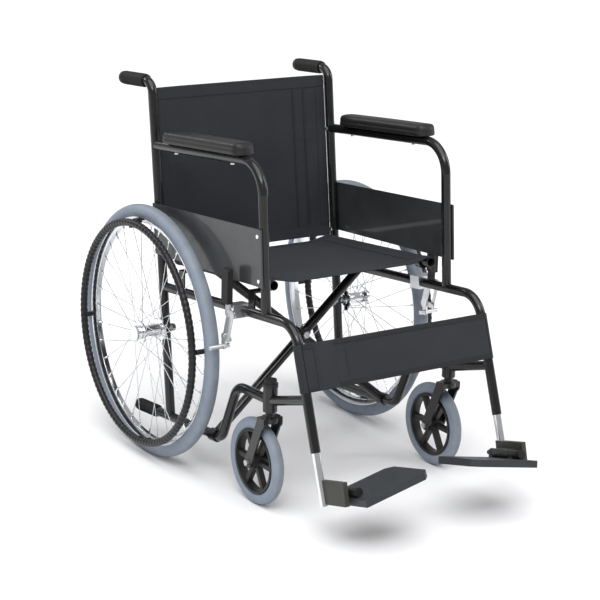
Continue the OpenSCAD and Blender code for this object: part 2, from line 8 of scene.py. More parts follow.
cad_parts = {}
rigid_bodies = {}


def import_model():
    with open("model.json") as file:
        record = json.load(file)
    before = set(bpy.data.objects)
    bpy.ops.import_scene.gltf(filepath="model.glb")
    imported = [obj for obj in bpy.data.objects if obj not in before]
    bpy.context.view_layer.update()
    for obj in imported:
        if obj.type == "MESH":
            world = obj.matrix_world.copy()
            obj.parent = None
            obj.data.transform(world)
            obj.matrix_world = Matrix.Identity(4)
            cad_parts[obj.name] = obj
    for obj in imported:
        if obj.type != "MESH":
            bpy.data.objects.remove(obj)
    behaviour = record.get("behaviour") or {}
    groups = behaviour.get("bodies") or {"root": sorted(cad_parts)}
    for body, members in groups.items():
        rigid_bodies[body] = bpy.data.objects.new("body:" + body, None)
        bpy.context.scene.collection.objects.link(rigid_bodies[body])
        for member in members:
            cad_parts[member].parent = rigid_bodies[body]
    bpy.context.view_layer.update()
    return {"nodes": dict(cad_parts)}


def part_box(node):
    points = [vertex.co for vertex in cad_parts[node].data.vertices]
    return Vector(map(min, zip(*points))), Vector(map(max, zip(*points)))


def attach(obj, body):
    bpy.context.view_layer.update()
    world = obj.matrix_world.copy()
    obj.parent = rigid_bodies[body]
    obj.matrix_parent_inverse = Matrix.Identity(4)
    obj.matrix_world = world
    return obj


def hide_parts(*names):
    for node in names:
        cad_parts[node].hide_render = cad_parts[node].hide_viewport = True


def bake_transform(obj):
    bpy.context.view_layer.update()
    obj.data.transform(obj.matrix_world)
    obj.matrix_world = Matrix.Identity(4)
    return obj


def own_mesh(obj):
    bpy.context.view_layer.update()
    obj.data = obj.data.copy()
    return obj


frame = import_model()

NODES = frame["nodes"]
SIDES = {"right": -1, "left": 1}


def middle(node):
    """Centre of a node's box."""
    low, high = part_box(node)
    return (Vector(low) + Vector(high)) / 2


# Sizes of the chair, in metres
AXLE = middle("hub_left")
FRAME_X = middle("caster_bearings_left").x    # centre line of each side frame
WHEEL_X = middle("tyre_left").x
HAND_RIM_X = middle("hand_rim_left").x
HAND_TUBE_R = 0.009
HAND_RIM_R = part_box("hand_rim_left")[1][2] - AXLE.z - HAND_TUBE_R
TUBE_R = 0.011
RAIL_X = 0.216         # centre line of each seat rail
RAIL_Z = 0.4665        # its height over the floor, level with the axle
BACK_LOW = 0.470       # the back cloth's edges, along the posts
BACK_HIGH = 0.868
TILT = math.radians(5)    # of the rails, front up
POST_LEAN = math.atan(0.13)
CLOTH_LIFT = 0.00075   # from a tube to the middle of the cloth round it
WALL = 0.0007          # thickness of the cloth


# ---------- materials ----------

class Signal:
    """A node's output that works in arithmetic and adds its own Math nodes."""

    def __init__(self, tree, socket):
        self.tree = tree
        self.socket = socket

    def math(self, operation, *others):
        made = self.tree.nodes.new("ShaderNodeMath")
        made.operation = operation
        for entry, value in zip(made.inputs, (self, *others)):
            put(self.tree, entry, value)
        return Signal(self.tree, made.outputs[0])

    def __add__(self, other):
        return self.math("ADD", other)

    def __sub__(self, other):
        return self.math("SUBTRACT", other)

    def __mul__(self, other):
        return self.math("MULTIPLY", other)

    def __truediv__(self, other):
        return self.math("DIVIDE", other)

    def __radd__(self, other):
        return self.math("ADD", other)

    def __rmul__(self, other):
        return self.math("MULTIPLY", other)

    def __rsub__(self, other):
        return (self * -1.0).math("ADD", other)

    def wave(self, pitch):
        """0 to 1 and back once in each pitch."""
        return (self * (2 * math.pi / pitch)).math("SINE") * 0.5 + 0.5

    def ramp(self, low, high):
        """0 at low, 1 at high, held beyond them."""
        made = self.tree.nodes.new("ShaderNodeMapRange")
        made.clamp = True
        put(self.tree, made.inputs["Value"], self)
        made.inputs["From Min"].default_value = low
        made.inputs["From Max"].default_value = high
        return Signal(self.tree, made.outputs[0])


def put(tree, entry, value):
    if isinstance(value, Signal):
        tree.links.new(value.socket, entry)
    else:
        entry.default_value = value


class Finish:
    """A material being built, with its shader and the coordinates of its piece."""

    def __init__(self, name, **fixed):
        self.material = bpy.data.materials.new(name)
        self.material.use_nodes = True
        self.tree = self.material.node_tree
        self.shader = self.tree.nodes["Principled BSDF"]
        for key, value in fixed.items():
            self.shader.inputs[key.replace("_", " ")].default_value = value
        self.place = self.node("TexCoord", out="Object")

    def node(self, kind, settings=None, values=None, out=0):
        made = self.tree.nodes.new("ShaderNode" + kind)
        for key, value in (settings or {}).items():
            setattr(made, key, value)
        for key, value in (values or {}).items():
            put(self.tree, made.inputs[key], value)
        return Signal(self.tree, made.outputs[out])

    def axes(self, place=None):
        split = self.node("SeparateXYZ", values={0: place or self.place})
        return [split] + [Signal(self.tree, split.socket.node.outputs[i]) for i in (1, 2)]

    def noise(self, scale, detail=3.0, rough=0.5, stretch=(1, 1, 1)):
        place = self.node("Mapping", values={"Vector": self.place, "Scale": stretch})
        return self.node("TexNoise", values={
            "Vector": place, "Scale": scale, "Detail": detail, "Roughness": rough})

    def pebble(self, scale):
        return self.node("TexVoronoi", {"feature": "F1"}, {"Vector": self.place, "Scale": scale})

    def blend(self, share, first, second):
        return self.node("Mix", {"data_type": "RGBA"}, {0: share, 6: first, 7: second}, out=2)

    def colour(self, value):
        put(self.tree, self.shader.inputs["Base Color"], value)

    def rough(self, value):
        put(self.tree, self.shader.inputs["Roughness"], value)

    def bump(self, height, strength=0.3, distance=0.001):
        made = self.node("Bump", values={
            "Height": height, "Strength": strength, "Distance": distance})
        put(self.tree, self.shader.inputs["Normal"], made)


def shade(r, g, b):
    return (r, g, b, 1.0)


def gloss_paint(name, dark, light, base_rough=0.16):
    """Baked gloss paint: faint orange peel, a little dust and small clouding."""
    paint = Finish(name, Coat_Weight=0.35, Coat_Roughness=0.05, Specular_IOR_Level=0.3)
    dust = paint.noise(14, 5, 0.6)
    peel = paint.noise(420, 2)
    paint.colour(paint.blend(dust.ramp(0.35, 0.75), shade(*dark), shade(*light)))
    paint.rough(base_rough + dust * 0.14 + peel * 0.03)
    paint.bump(peel, 0.05, 0.0004)
    return paint.material


def plated(name, tint, rough, spread, grain=220):
    """Plated or polished metal with fine polishing marks and dull patches."""
    metal = Finish(name, Metallic=1.0)
    patch = metal.noise(22, 4, 0.6)
    marks = metal.noise(grain, 3, 0.6, (1, 1, 6))
    dulled = shade(*[c * 0.82 for c in tint])
    metal.colour(metal.blend(patch.ramp(0.3, 0.8), shade(*tint), dulled))
    metal.rough(rough + patch * spread + marks * spread * 0.5)
    metal.bump(marks, 0.04, 0.0003)
    return metal.material


def moulded(name, dark, light, rough, grain, depth):
    """Moulded plastic or rubber with a fine pebble and paler scuffs in random noise patches."""
    skin = Finish(name, Specular_IOR_Level=0.32)
    cloud = skin.noise(18, 5, 0.65)
    pebble = skin.pebble(grain)
    scuff = skin.noise(75, 6, 0.7).ramp(0.56, 0.78)
    base = skin.blend(cloud.ramp(0.3, 0.75), shade(*dark), shade(*light))
    skin.colour(skin.blend(scuff * 0.35, base, shade(*[c * 1.9 + 0.01 for c in light])))
    skin.rough(rough + cloud * 0.12 + scuff * 0.12)
    skin.bump(pebble, depth, 0.0005)
    return skin.material


def tyre_rubber(name, centre_x, half):
    """Grey-blue non-marking rubber: greyer and dustier where it rolls."""
    skin = Finish(name, Specular_IOR_Level=0.4)
    x, _, _ = skin.axes()
    off = ((x.math("ABSOLUTE") - centre_x).math("ABSOLUTE")) / half
    rolled = 1.0 - off.ramp(0.25, 0.6)
    cloud = skin.noise(26, 5, 0.6)
    speck = skin.noise(900, 2, 0.5)
    side = skin.blend(cloud.ramp(0.3, 0.7), shade(0.185, 0.22, 0.275), shade(0.235, 0.27, 0.33))
    worn = skin.blend(cloud.ramp(0.35, 0.7), shade(0.16, 0.185, 0.2), shade(0.21, 0.235, 0.25))
    skin.colour(skin.blend(rolled * 0.7, side, worn))
    skin.rough(0.5 + rolled * 0.16 + cloud * 0.1)
    skin.bump(speck + cloud * 0.5, 0.12, 0.0004)
    return skin.material


def woven(name, dark, light, pitch=0.0011):
    """Plain-weave nylon on the piece's own UV map, which is in metres."""
    cloth = Finish(name, Sheen_Weight=0.06, Sheen_Roughness=0.45, Specular_IOR_Level=0.2)
    across, along, _ = cloth.axes(cloth.node("TexCoord", out="UV"))
    warp = across.wave(pitch)
    weft = along.wave(pitch)
    weave = warp * (1.0 - weft) + weft * (1.0 - warp)
    slub = cloth.noise(130, 2, 0.5, (1, 1, 9))
    cloud = cloth.noise(7, 4, 0.6)
    tone = (weave * 0.45 + slub * 0.35 + cloud * 0.6).ramp(0.35, 1.05)
    cloth.colour(cloth.blend(tone, shade(*dark), shade(*light)))
    cloth.rough(0.56 + weave * 0.12 + cloud * 0.08)
    cloth.bump(weave + slub * 0.6, 0.35, 0.00035)
    return cloth.material


def webbing(name, dark, light):
    """Ribbed binding tape on the piece's own UV map."""
    tape = Finish(name, Sheen_Weight=0.04, Specular_IOR_Level=0.25)
    across, along, _ = tape.axes(tape.node("TexCoord", out="UV"))
    rib = along.wave(0.0016) * 0.7 + across.wave(0.0009) * 0.3
    cloud = tape.noise(30, 3)
    tape.colour(tape.blend((rib * 0.6 + cloud * 0.5).ramp(0.2, 0.9), shade(*dark), shade(*light)))
    tape.rough(0.6 + rib * 0.15)
    tape.bump(rib, 0.4, 0.0004)
    return tape.material


BLACK_PAINT = gloss_paint("black gloss paint", (0.0045, 0.0045, 0.005), (0.010, 0.010, 0.0105))
FORK_PAINT = gloss_paint("black fork paint", (0.006, 0.006, 0.0062), (0.013, 0.013, 0.013), 0.24)
PANEL = gloss_paint("dark guard plastic", (0.030, 0.032, 0.034), (0.046, 0.048, 0.051), 0.22)
CHROME = plated("bright chrome", (0.86, 0.87, 0.89), 0.04, 0.07)
RIM_CHROME = plated("rim chrome", (0.80, 0.82, 0.86), 0.08, 0.10)
WIRE = plated("spoke wire", (0.72, 0.73, 0.76), 0.16, 0.14)
ZINC = plated("zinc plate", (0.70, 0.71, 0.73), 0.2, 0.2)
STEEL = plated("machined steel", (0.55, 0.55, 0.57), 0.24, 0.16)
GRIP_RUBBER = moulded("grip rubber", (0.010, 0.010, 0.010), (0.018, 0.018, 0.018), 0.5, 900, 0.25)
PAD_SKIN = moulded("arm pad skin", (0.010, 0.010, 0.011), (0.018, 0.018, 0.019), 0.36, 700, 0.22)
RIM_PLASTIC = moulded(
    "hand rim plastic", (0.007, 0.007, 0.008), (0.014, 0.014, 0.015), 0.3, 500, 0.1)
HUB_PLASTIC = moulded(
    "black hub plastic", (0.008, 0.008, 0.008), (0.016, 0.016, 0.016), 0.34, 600, 0.1)
CASTER_PLASTIC = moulded(
    "caster plastic", (0.009, 0.009, 0.009), (0.017, 0.017, 0.016), 0.34, 500, 0.12)
PLATE_PLASTIC = moulded(
    "footplate plastic", (0.022, 0.025, 0.028), (0.032, 0.036, 0.040), 0.42, 600, 0.2)
CLAMP_PLASTIC = moulded(
    "clamp plastic", (0.032, 0.034, 0.030), (0.046, 0.048, 0.042), 0.4, 600, 0.15)
TYRE_RUBBER = tyre_rubber("tyre rubber", WHEEL_X, 0.0165)
CASTER_RUBBER = tyre_rubber("caster tyre rubber", FRAME_X, 0.014)
NYLON = woven("oxford nylon", (0.013, 0.0145, 0.0175), (0.028, 0.031, 0.037))
TAPE = webbing("binding tape", (0.008, 0.008, 0.010), (0.02, 0.02, 0.023))
THREAD = moulded("black thread", (0.014, 0.014, 0.016), (0.024, 0.024, 0.027), 0.6, 1500, 0.1)

NODE_FINISH = {
    "side_frame": BLACK_PAINT, "grips": GRIP_RUBBER, "side_panel": PANEL, "frame_screws": CHROME,
    "rim": RIM_CHROME, "spokes": WIRE, "hub": CHROME, "axle": STEEL,
    "hand_rim_brackets": HUB_PLASTIC, "caster_fork": FORK_PAINT, "caster_bearings": STEEL,
    "stem_cap": HUB_PLASTIC, "caster_wheel": CASTER_PLASTIC, "caster_axle": STEEL,
    "footrest_tube": CHROME, "footplate_clamp": CLAMP_PLASTIC, "footplate": PLATE_PLASTIC,
    "footplate_pin": HUB_PLASTIC, "brake_bracket": ZINC, "brake_lever": ZINC,
    "brake_grip": GRIP_RUBBER, "brake_link": ZINC, "brake_shoe": ZINC,
    "tyre": TYRE_RUBBER, "caster_tyre": CASTER_RUBBER, "hand_rim": RIM_PLASTIC,
    "brace_front": BLACK_PAINT, "brace_rear": BLACK_PAINT, "brace_bolt": STEEL,
}
ROUNDED = {
    "side_panel": 0.0006, "hub": 0.0008, "caster_fork": 0.0016, "stem_cap": 0.0012,
    "caster_wheel": 0.0012, "footplate_clamp": 0.0016, "footplate": 0.0022, "footplate_pin": 0.0014,
    "brake_bracket": 0.0005, "brake_lever": 0.0005, "brake_grip": 0.002, "brake_link": 0.0004,
    "brake_shoe": 0.0005, "grips": 0.0014, "frame_screws": 0.0007, "axle": 0.0004,
    "caster_axle": 0.0005, "hand_rim_brackets": 0.0006, "rim": 0.0004,
}


def kind_of(node):
    return node.removesuffix("_right").removesuffix("_left")


def finish_nodes():
    """Gives each CAD node its finish, and small rounds on its edges."""
    for name, piece in NODES.items():
        kind = kind_of(name)
        if kind in NODE_FINISH:
            piece.data.materials.clear()
            piece.data.materials.append(NODE_FINISH[kind])
        if kind in ROUNDED:
            weld = piece.modifiers.new("weld", "WELD")
            weld.merge_threshold = 0.00002
            round_edges = piece.modifiers.new("round", "BEVEL")
            round_edges.width = ROUNDED[kind]
            round_edges.segments = 2
            round_edges.limit_method = "ANGLE"
            round_edges.angle_limit = math.radians(32)
            round_edges.harden_normals = False


# ---------- meshes ----------

def make_piece(name, points, faces, finish, uv=None, smooth=True):
    mesh = bpy.data.meshes.new(name)
    mesh.from_pydata([tuple(p) for p in points], [], faces)
    mesh.materials.append(finish)
    if uv:
        layer = mesh.uv_layers.new(name="UVMap")
        for loop in mesh.loops:
            layer.data[loop.index].uv = uv[loop.vertex_index]
    for polygon in mesh.polygons:
        polygon.use_smooth = smooth
    piece = bpy.data.objects.new(name, mesh)
    bpy.context.scene.collection.objects.link(piece)
    return piece


def grid_faces(columns, rows, around=False):
    """Quads between columns x rows points, stored row by row."""
    wide = columns if around else columns - 1
    return [
        (r * columns + c, r * columns + (c + 1) % columns,
         (r + 1) * columns + (c + 1) % columns, (r + 1) * columns + c)
        for r in range(rows - 1) for c in range(wide)
    ]


class Cloth:
    """A sheet as a grid of points, with its seams and hems cut from the same grid."""

    def __init__(self, columns, rows, width, length, place):
        self.columns = columns
        self.rows = rows
        self.uv = [(width * c / (columns - 1), length * r / (rows - 1))
                   for r in range(rows) for c in range(columns)]
        self.points = [place(c / (columns - 1), r / (rows - 1))
                       for r in range(rows) for c in range(columns)]

    def at(self, c, r):
        return self.points[r * self.columns + c]

    def normal(self, c, r):
        left, right = self.at(max(c - 1, 0), r), self.at(min(c + 1, self.columns - 1), r)
        near, far = self.at(c, max(r - 1, 0)), self.at(c, min(r + 1, self.rows - 1))
        return (right - left).cross(far - near).normalized()

    def settle(self, held, pull, slack, limit):
        """Lets the cloth hang under a pull, with the held points fixed and the travel capped."""
        mesh = bpy.data.meshes.new("settling")
        mesh.from_pydata([tuple(p) for p in self.points], [], grid_faces(self.columns, self.rows))
        sheet = bpy.data.objects.new("settling", mesh)
        scene = bpy.context.scene
        scene.collection.objects.link(sheet)
        pins = sheet.vertex_groups.new(name="held")
        pins.add([i for i, p in enumerate(self.points) if held(p)], 1.0, "REPLACE")
        cloth = sheet.modifiers.new("cloth", "CLOTH")
        cloth.settings.vertex_group_mass = "held"
        cloth.settings.quality = 6
        cloth.settings.mass = 0.2
        cloth.settings.tension_stiffness = 40
        cloth.settings.compression_stiffness = 30
        cloth.settings.bending_stiffness = 2.0
        cloth.settings.shrink_min = -slack
        cloth.collision_settings.use_collision = False
        was = Vector(scene.gravity)
        scene.gravity = pull
        last = 24
        cloth.point_cache.frame_start = 1
        cloth.point_cache.frame_end = last
        for step in range(1, last + 1):
            scene.frame_set(step)
        shown = sheet.evaluated_get(bpy.context.evaluated_depsgraph_get())
        moved = [v.co.copy() for v in shown.data.vertices]
        for i, (start, end) in enumerate(zip(self.points, moved)):
            shift = end - start
            if shift.length > limit:
                shift *= limit / shift.length
            self.points[i] = start + shift
        scene.frame_set(1)
        scene.gravity = was
        bpy.data.objects.remove(sheet)

    def piece(self, name, finish, thick=WALL, refine=1):
        made = make_piece(name, self.points, grid_faces(self.columns, self.rows), finish, self.uv)
        thicken(made, thick, refine)
        return made

    def strip(self, name, columns, rows, finish, lift=0.0008, thick=0.0009):
        """A hem or tape on the sheet, over those columns and rows, raised by lift."""
        points = [self.at(c, r) + self.normal(c, r) * lift for r in rows for c in columns]
        uv = [self.uv[r * self.columns + c] for r in rows for c in columns]
        made = make_piece(name, points, grid_faces(len(columns), len(rows)), finish, uv)
        thicken(made, thick, 1)
        return made

    def line(self, spots, lift=0.0016):
        """Points along a seam, on the face, for a row of stitches."""
        return [self.at(c, r) + self.normal(c, r) * lift for c, r in spots]


def thicken(piece, thick, refine):
    wall = piece.modifiers.new("wall", "SOLIDIFY")
    wall.thickness = thick
    wall.offset = 0.0
    if refine:
        fine = piece.modifiers.new("refine", "SUBSURF")
        fine.levels = refine
        fine.render_levels = refine
    apply_modifiers(piece)


def apply_modifiers(piece):
    """Turns the piece with its modifiers into one plain mesh."""
    shown = piece.evaluated_get(bpy.context.evaluated_depsgraph_get())
    mesh = bpy.data.meshes.new_from_object(shown)
    mesh.name = piece.name
    piece.modifiers.clear()
    piece.data = mesh


# ---------- geometry nodes ----------

class Pattern:
    """A Geometry Nodes tree with named inputs, run on a piece's lines and made a plain mesh."""

    def __init__(self, name, numbers):
        self.tree = bpy.data.node_groups.new(name, "GeometryNodeTree")
        face = self.tree.interface
        face.new_socket("Geometry", in_out="INPUT", socket_type="NodeSocketGeometry")
        self.ids = {}
        for label, value in numbers.items():
            whole = isinstance(value, int)
            kind = "NodeSocketInt" if whole else "NodeSocketFloat"
            made = face.new_socket(label, in_out="INPUT", socket_type=kind)
            made.default_value = value
            self.ids[label] = made.identifier
        self.finish_id = face.new_socket(
            "Finish", in_out="INPUT", socket_type="NodeSocketMaterial").identifier
        face.new_socket("Geometry", in_out="OUTPUT", socket_type="NodeSocketGeometry")
        self.given = self.tree.nodes.new("NodeGroupInput")
        self.result = self.tree.nodes.new("NodeGroupOutput")

    def node(self, kind, settings=None, values=None):
        made = self.tree.nodes.new(kind)
        for key, value in (settings or {}).items():
            setattr(made, key, value)
        for key, value in (values or {}).items():
            if isinstance(value, bpy.types.NodeSocket):
                self.tree.links.new(value, made.inputs[key])
            else:
                made.inputs[key].default_value = value
        return made

    def close(self, geometry):
        """Ends the tree in Realize Instances and Set Material."""
        real = self.node("GeometryNodeRealizeInstances", values={0: geometry})
        smooth = self.node("GeometryNodeSetShadeSmooth", values={0: real.outputs[0]})
        coloured = self.node("GeometryNodeSetMaterial", values={
            "Geometry": smooth.outputs[0], "Material": self.given.outputs["Finish"]})
        self.tree.links.new(coloured.outputs[0], self.result.inputs[0])

    def make(self, name, lines, finish, **numbers):
        """Runs the tree on lines, which are lists of points, and gives a plain mesh."""
        points, edges = [], []
        for line in lines:
            edges += [(len(points) + i, len(points) + i + 1) for i in range(len(line) - 1)]
            points += [tuple(p) for p in line]
        mesh = bpy.data.meshes.new(name)
        mesh.from_pydata(points, edges, [])
        piece = bpy.data.objects.new(name, mesh)
        bpy.context.scene.collection.objects.link(piece)
        run = piece.modifiers.new("pattern", "NODES")
        run.node_group = self.tree
        for label, value in numbers.items():
            run[self.ids[label.replace("_", " ")]] = value
        run[self.finish_id] = finish
        apply_modifiers(piece)
        return piece


def stitch_pattern():
    """Short round stitches laid end to end along each line."""
    p = Pattern("Stitches", {"Spacing": 0.0045, "Stitch Length": 0.0031, "Thread": 0.00045})
    curve = p.node("GeometryNodeMeshToCurve", values={"Mesh": p.given.outputs[0]})
    even = p.node("GeometryNodeResampleCurve", {"mode": "LENGTH"}, {
        "Curve": curve.outputs[0], "Length": p.given.outputs["Spacing"]})
    thread = p.node("GeometryNodeMeshUVSphere", values={"Segments": 6, "Rings": 4, "Radius": 0.5})
    tangent = p.node("GeometryNodeInputTangent")
    turn = p.node("FunctionNodeAlignRotationToVector", {"axis": "Z"}, {
        "Vector": tangent.outputs[0]})
    size = p.node("ShaderNodeCombineXYZ", values={
        0: p.given.outputs["Thread"], 1: p.given.outputs["Thread"],
        2: p.given.outputs["Stitch Length"]})
    laid = p.node("GeometryNodeInstanceOnPoints", values={
        "Points": even.outputs[0], "Instance": thread.outputs[0],
        "Rotation": turn.outputs[0], "Scale": size.outputs[0]})
    p.close(laid.outputs[0])
    return p


def ridge_pattern():
    """Rings threaded on each line, square to it."""
    p = Pattern("Ridges", {"Spacing": 0.006, "Ring Radius": 0.015, "Ridge Radius": 0.0012})
    curve = p.node("GeometryNodeMeshToCurve", values={"Mesh": p.given.outputs[0]})
    even = p.node("GeometryNodeResampleCurve", {"mode": "LENGTH"}, {
        "Curve": curve.outputs[0], "Length": p.given.outputs["Spacing"]})
    ring = p.node("GeometryNodeCurvePrimitiveCircle", values={
        "Resolution": 40, "Radius": p.given.outputs["Ring Radius"]})
    section = p.node("GeometryNodeCurvePrimitiveCircle", values={
        "Resolution": 8, "Radius": p.given.outputs["Ridge Radius"]})
    solid = p.node("GeometryNodeCurveToMesh", values={
        "Curve": ring.outputs[0], "Profile Curve": section.outputs[0]})
    tangent = p.node("GeometryNodeInputTangent")
    turn = p.node("FunctionNodeAlignRotationToVector", {"axis": "Z"}, {
        "Vector": tangent.outputs[0]})
    laid = p.node("GeometryNodeInstanceOnPoints", values={
        "Points": even.outputs[0], "Instance": solid.outputs[0], "Rotation": turn.outputs[0]})
    p.close(laid.outputs[0])
    return p


def peg_pattern():
    """One round peg along each line, such as a spoke nipple or a rivet."""
    p = Pattern("Pegs", {"Radius": 0.002, "Sides": 10})
    curve = p.node("GeometryNodeMeshToCurve", values={"Mesh": p.given.outputs[0]})
    section = p.node("GeometryNodeCurvePrimitiveCircle", values={
        "Resolution": p.given.outputs["Sides"], "Radius": p.given.outputs["Radius"]})
    solid = p.node("GeometryNodeCurveToMesh", values={
        "Curve": curve.outputs[0], "Profile Curve": section.outputs[0], "Fill Caps": True})
    p.close(solid.outputs[0])
    return p


def scallop_pattern():
    """A ring whose tube swells and narrows evenly round it, for finger grip."""
    p = Pattern("Scallops", {"Ring Radius": 0.25, "Tube Radius": 0.009, "Swell": 0.09,
                             "Count": 120, "Steps": 8})
    total = p.node("FunctionNodeIntegerMath", {"operation": "MULTIPLY"}, {
        0: p.given.outputs["Count"], 1: p.given.outputs["Steps"]})
    path = p.node("GeometryNodeCurvePrimitiveCircle", values={
        "Resolution": total.outputs[0], "Radius": p.given.outputs["Ring Radius"]})
    index = p.node("GeometryNodeInputIndex")
    turns = p.node("ShaderNodeMath", {"operation": "DIVIDE"}, {
        0: index.outputs[0], 1: p.given.outputs["Steps"]})
    angle = p.node("ShaderNodeMath", {"operation": "MULTIPLY"}, {
        0: turns.outputs[0], 1: 2 * math.pi})
    swell = p.node("ShaderNodeMath", {"operation": "SINE"}, {0: angle.outputs[0]})
    scaled = p.node("ShaderNodeMath", {"operation": "MULTIPLY_ADD"}, {
        0: swell.outputs[0], 1: p.given.outputs["Swell"], 2: 1.0})
    section = p.node("GeometryNodeCurvePrimitiveCircle", values={
        "Resolution": 16, "Radius": p.given.outputs["Tube Radius"]})
    tube = p.node("GeometryNodeCurveToMesh", values={
        "Curve": path.outputs[0], "Profile Curve": section.outputs[0],
        "Scale": scaled.outputs[0]})
    p.close(tube.outputs[0])
    return p


def place_mesh(piece, matrix):
    """Moves the mesh itself, so that the piece's object stays at the origin."""
    piece.data.transform(matrix)
    piece.data.update()


# ---------- rows of seams ----------

STITCHES = stitch_pattern()
RIDGES = ridge_pattern()
PEGS = peg_pattern()
SCALLOPS = scallop_pattern()


# ---------- seat ----------

def make_seat():
    """Seat cloth: wrapped over both seat rails, slack enough to dip a little between them."""
    low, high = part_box("seat_sling")
    front, depth = low[1] + 0.001, 0.416
    wrap_r = TUBE_R + CLOTH_LIFT
    under = math.radians(70)
    wrap = wrap_r * (math.pi / 2 + under)
    flat = 2 * RAIL_X
    width = flat + 2 * wrap
    up = Vector((0, math.sin(TILT), math.cos(TILT)))

    def place(s, t):
        y = front + depth * t
        on_rail = Vector((0, y, RAIL_Z - (y - AXLE.y) * math.tan(TILT)))
        run = s * width
        if run < wrap:
            turn = math.pi + under - run / wrap_r
            side = -RAIL_X
        elif run > wrap + flat:
            turn = math.pi / 2 - (run - wrap - flat) / wrap_r
            side = RAIL_X
        else:
            return on_rail + Vector((run - wrap - RAIL_X, 0, 0)) + up * wrap_r
        over = Vector((side + wrap_r * math.cos(turn), 0, 0))
        return on_rail + over + up * wrap_r * math.sin(turn)

    columns, rows = 85, 61
    cloth = Cloth(columns, rows, width, depth / math.cos(TILT), place)
    cloth.settle(lambda p: abs(p.x) > RAIL_X - 0.004, (0, 0, -9.8), 0.0016, 0.011)
    seat = cloth.piece("seat_cloth", NYLON)
    every = list(range(columns))
    hems = [
        cloth.strip("seat_front_hem", every, [0, 1, 2, 3, 4], NYLON),
        cloth.strip("seat_rear_hem", every, [rows - 4, rows - 3, rows - 2, rows - 1], NYLON),
    ]
    lines = [cloth.line([(c, r) for c in every[6:-6]], 0.0019) for r in (1, 4, rows - 4)]
    tapes = []
    for side, columns_on in (("right", [9, 10, 11, 12]), ("left", [72, 73, 74, 75])):
        tapes.append(cloth.strip(f"seat_tape_{side}", columns_on, list(range(5, rows - 4)), NYLON))
        for c in (columns_on[0], columns_on[-1]):
            lines.append(cloth.line([(c, r) for r in range(5, rows - 4)], 0.0019))
    seams = STITCHES.make("seat_stitches", lines, THREAD)
    for piece in (seat, *hems, *tapes, seams):
        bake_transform(piece)
    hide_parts("seat_sling")


# ---------- back ----------


def post_point(z):
    return Vector((0, AXLE.y + (z - AXLE.z) * 0.13, z))


def make_back():
    """Back cloth between the posts, with a tab round the rear of each post."""
    low, high = BACK_LOW, BACK_HIGH
    half = FRAME_X - TUBE_R - 0.0004
    behind = Vector((0, math.cos(POST_LEAN), -math.sin(POST_LEAN)))
    offset = 0.006
    width = 2 * half
    length = (high - low) / math.cos(POST_LEAN)

    def place(s, t):
        across = Vector((half - s * width, 0, 0))
        return post_point(low + (high - low) * t) + across + behind * offset

    columns, rows = 81, 69    # columns run from the chair's left to its right
    cloth = Cloth(columns, rows, width, length, place)
    cloth.settle(lambda p: abs(p.x) > half - 0.007, (0, 5.0, -2.0), 0.0018, 0.012)
    back = cloth.piece("back_cloth", NYLON)
    every = list(range(columns))
    tall = list(range(rows))
    hems = []
    lines = []
    for face, lift in (("front", -0.0008), ("rear", 0.0008)):
        hems.append(cloth.strip(f"back_top_hem_{face}", every, tall[-6:], NYLON, lift))
        hems.append(cloth.strip(f"back_low_hem_{face}", every, tall[:5], NYLON, lift))
        for side, group in (("left", every[:5]), ("right", every[-5:])):
            hems.append(cloth.strip(f"back_{side}_hem_{face}", group, tall[5:-5], NYLON, lift))
        raised = lift * 2.1
        lines.append(cloth.line([(c, rows - 6) for c in every], raised))
        lines.append(cloth.line([(c, rows - 2) for c in every], raised))
        lines.append(cloth.line([(c, 4) for c in every], raised))
        for c in (4, columns - 5):
            lines.append(cloth.line([(c, r) for r in tall[5:-5]], raised))
    for c in (9, 14):
        hems.append(cloth.strip(f"back_seam_{c}", [c, c + 1], tall[5:-5], TAPE, -0.0009, 0.0007))
        for edge in (c, c + 1):
            lines.append(cloth.line([(edge, r) for r in tall[5:-5]], -0.0018))
    seams = STITCHES.make("back_stitches", lines, THREAD)
    for piece in (back, *hems, seams):
        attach(piece, "right_side")
        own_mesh(piece)
    tabs = [make_post_tab(side, low, high) for side in SIDES]
    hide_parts("back_sling")


def make_post_tab(side, low, high):
    """The cloth's edge, taken round the rear of a post."""
    sign = SIDES[side]
    r = TUBE_R + CLOTH_LIFT
    behind = Vector((0, math.cos(POST_LEAN), -math.sin(POST_LEAN)))
    columns, rows = 17, 40
    first, last = math.radians(148), math.radians(42)

    def place(s, t):
        base = post_point(low + (high - low) * t) + Vector((sign * FRAME_X, 0, 0))
        turn = first + (last - first) * s
        return base + Vector((sign * r * math.cos(turn), 0, 0)) + behind * r * math.sin(turn)

    reach = r * (first - last)
    cloth = Cloth(columns, rows, reach, (high - low) / math.cos(POST_LEAN), place)
    tab = cloth.piece(f"back_tab_{side}", NYLON)
    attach(tab, f"{side}_side")
    return tab


# ---------- calf strap ----------

